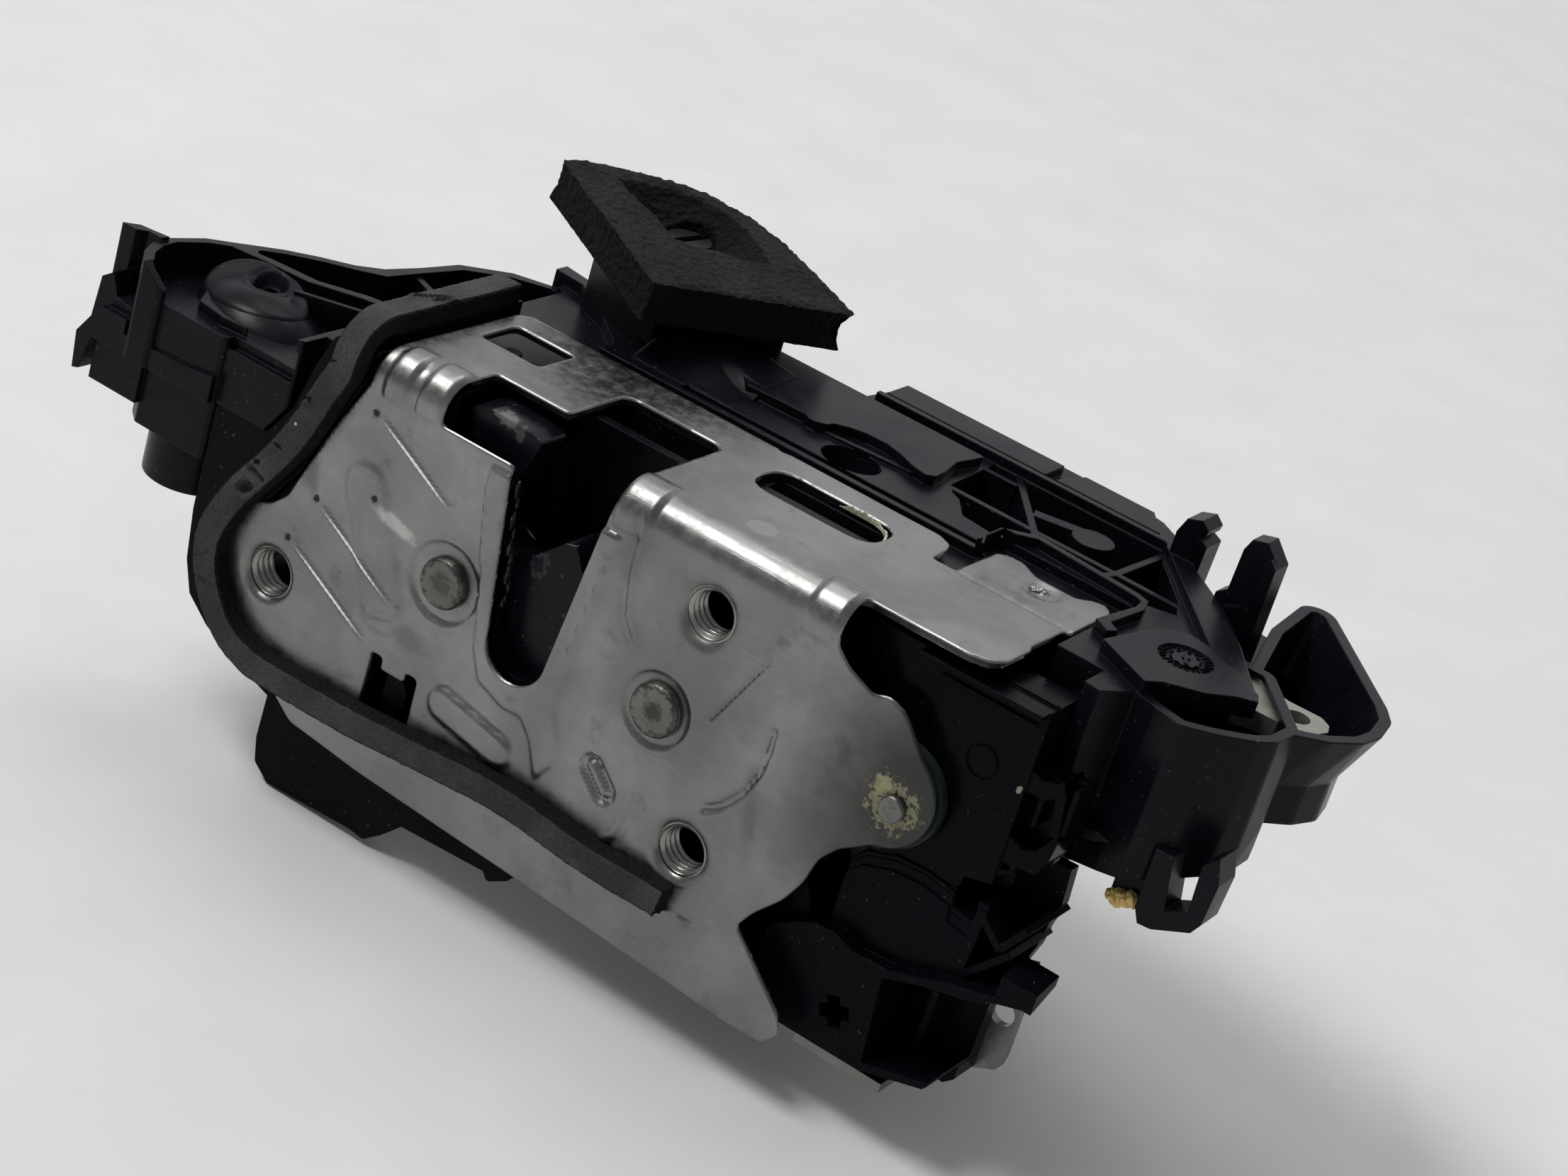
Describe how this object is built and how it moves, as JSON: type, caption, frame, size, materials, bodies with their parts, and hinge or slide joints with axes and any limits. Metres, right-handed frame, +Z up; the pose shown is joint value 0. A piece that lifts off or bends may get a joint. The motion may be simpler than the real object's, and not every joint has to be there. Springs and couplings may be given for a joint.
{
  "type": "car door lock",
  "caption": "Car door lock: steel latch with striker throat, catch and pawl, bolted to a plastic housing with locking drive, key hub, cable lever and foam seals.",
  "frame": {"origin": "centre of the upper threaded fixing hole, on the front of the face plate", "axes": "+X along the face plate towards the release lever, +Y into the door, +Z up out of the striker throat"},
  "size_m": [0.206, 0.0827, 0.0956],
  "materials": {
    "face_steel": "zinc plated, worn",
    "back_steel": "zinc plated",
    "latch_plastic": "fine grain",
    "buffer_rubber": "matt",
    "forged_steel": "bare",
    "coating_plastic": "smooth, scratched",
    "pivot_steel": "riveted",
    "lever_coat": "dark green coat",
    "spring_steel": "oiled",
    "cover_plastic": "satin",
    "shell_plastic": "fine grain",
    "seal_foam": "closed-cell foam, worn",
    "pad_foam": "closed-cell foam",
    "hub_plastic": "satin",
    "cast_metal": "die cast",
    "motor_can": "drawn can",
    "brass": "turned",
    "gear_plastic": "natural",
    "copper": "tinned strip",
    "button_plastic": "satin",
    "screw_steel": "zinc plated",
    "yellow_lump": "dried compound"
  },
  "bodies": {
    "lock_case": {"latch_plate": "face_steel", "back_plate": "back_steel", "latch_housing": "latch_plastic", "striker_buffer": "buffer_rubber", "catch_pivot": "pivot_steel", "pawl_pivot": "pivot_steel", "lobe_rivet": "pivot_steel", "catch_spring": "spring_steel", "pawl_spring": "spring_steel", "inner_cover": "cover_plastic", "main_housing": "shell_plastic", "housing_cover": "shell_plastic", "seal_strip": "seal_foam", "foam_pad": "pad_foam", "pull_lever_pin": "pivot_steel", "pull_lever_spring": "spring_steel", "motor": "motor_can", "wheel_axle": "pivot_steel", "wiring_plate": "hub_plastic", "contact_strips": "copper", "catch_switch": "hub_plastic", "connector_pins": "copper", "housing_screws": "screw_steel", "latch_screws": "screw_steel", "yellow_plug": "yellow_lump"},
    "catch_body": {"catch": "forged_steel", "catch_coating": "coating_plastic"},
    "pawl_body": {"pawl": "forged_steel", "pawl_coating": "coating_plastic"},
    "release_body": {"release_lever": "lever_coat"},
    "cable_lever": {"pull_lever": "cast_metal"},
    "key_rotor": {"key_hub": "hub_plastic"},
    "worm": {"motor_worm": "brass"},
    "wheel": {"worm_wheel": "gear_plastic"},
    "slide_bar": {"lock_slide": "gear_plastic"},
    "switch_tip": {"switch_button": "button_plastic"}
  },
  "joints": [
    {"name": "catch_turn", "type": "hinge", "parent": "lock_case", "child": "catch_body", "pos_m": [-0.0439, 0.0078, -0.0172], "axis": [0, 1, 0], "range_deg": [0, 65], "stiffness_Nm_per_rad": 0.08, "springref_deg": -28.65},
    {"name": "release_turn", "type": "hinge", "parent": "lock_case", "child": "release_body", "pos_m": [0.0345, 0.0069, -0.0144], "axis": [0, 1, 0], "range_deg": [0, 8]},
    {"name": "pawl_lift", "type": "hinge", "parent": "lock_case", "child": "pawl_body", "pos_m": [-0.0037, 0.0078, -0.0176], "axis": [0, 1, 0], "range_deg": [-10.3, 0], "stiffness_Nm_per_rad": 0.06, "springref_deg": 22.92},
    {"name": "cable_pull", "type": "hinge", "parent": "lock_case", "child": "cable_lever", "pos_m": [0.0556, 0.0379, 0.0091], "axis": [0, 0, 1], "range_deg": [0, 30], "stiffness_Nm_per_rad": 0.05, "springref_deg": -22.92},
    {"name": "key_turn", "type": "hinge", "parent": "lock_case", "child": "key_rotor", "pos_m": [-0.0574, 0.0656, 0], "axis": [0, 0, 1], "range_deg": [-60, 60]},
    {"name": "wheel_spin", "type": "hinge", "parent": "lock_case", "child": "wheel", "pos_m": [0.004, 0.0394, -0.0136], "axis": [0, 0, 1], "range_deg": [0, 156]},
    {"name": "worm_spin", "type": "hinge", "parent": "lock_case", "child": "worm", "pos_m": [0.004, 0.055, -0.0136], "axis": [1, 0, 0], "range_deg": [0, 4060]},
    {"name": "slide_travel", "type": "slide", "parent": "lock_case", "child": "slide_bar", "axis": [1, 0, 0], "range_m": [0, 0.012]},
    {"name": "switch_press", "type": "slide", "parent": "lock_case", "child": "switch_tip", "axis": [0, -1, 0], "range_m": [0, 0.0008], "stiffness_N_per_m": 300, "springref_m": -0.001}
  ],
  "couplings": [
    {"joint": "pawl_lift", "follows": "release_turn", "ratio": -1.28},
    {"joint": "worm_spin", "follows": "wheel_spin", "ratio": 26},
    {"joint": "slide_travel", "follows": "wheel_spin", "m_per_rad": 0.0044}
  ]
}
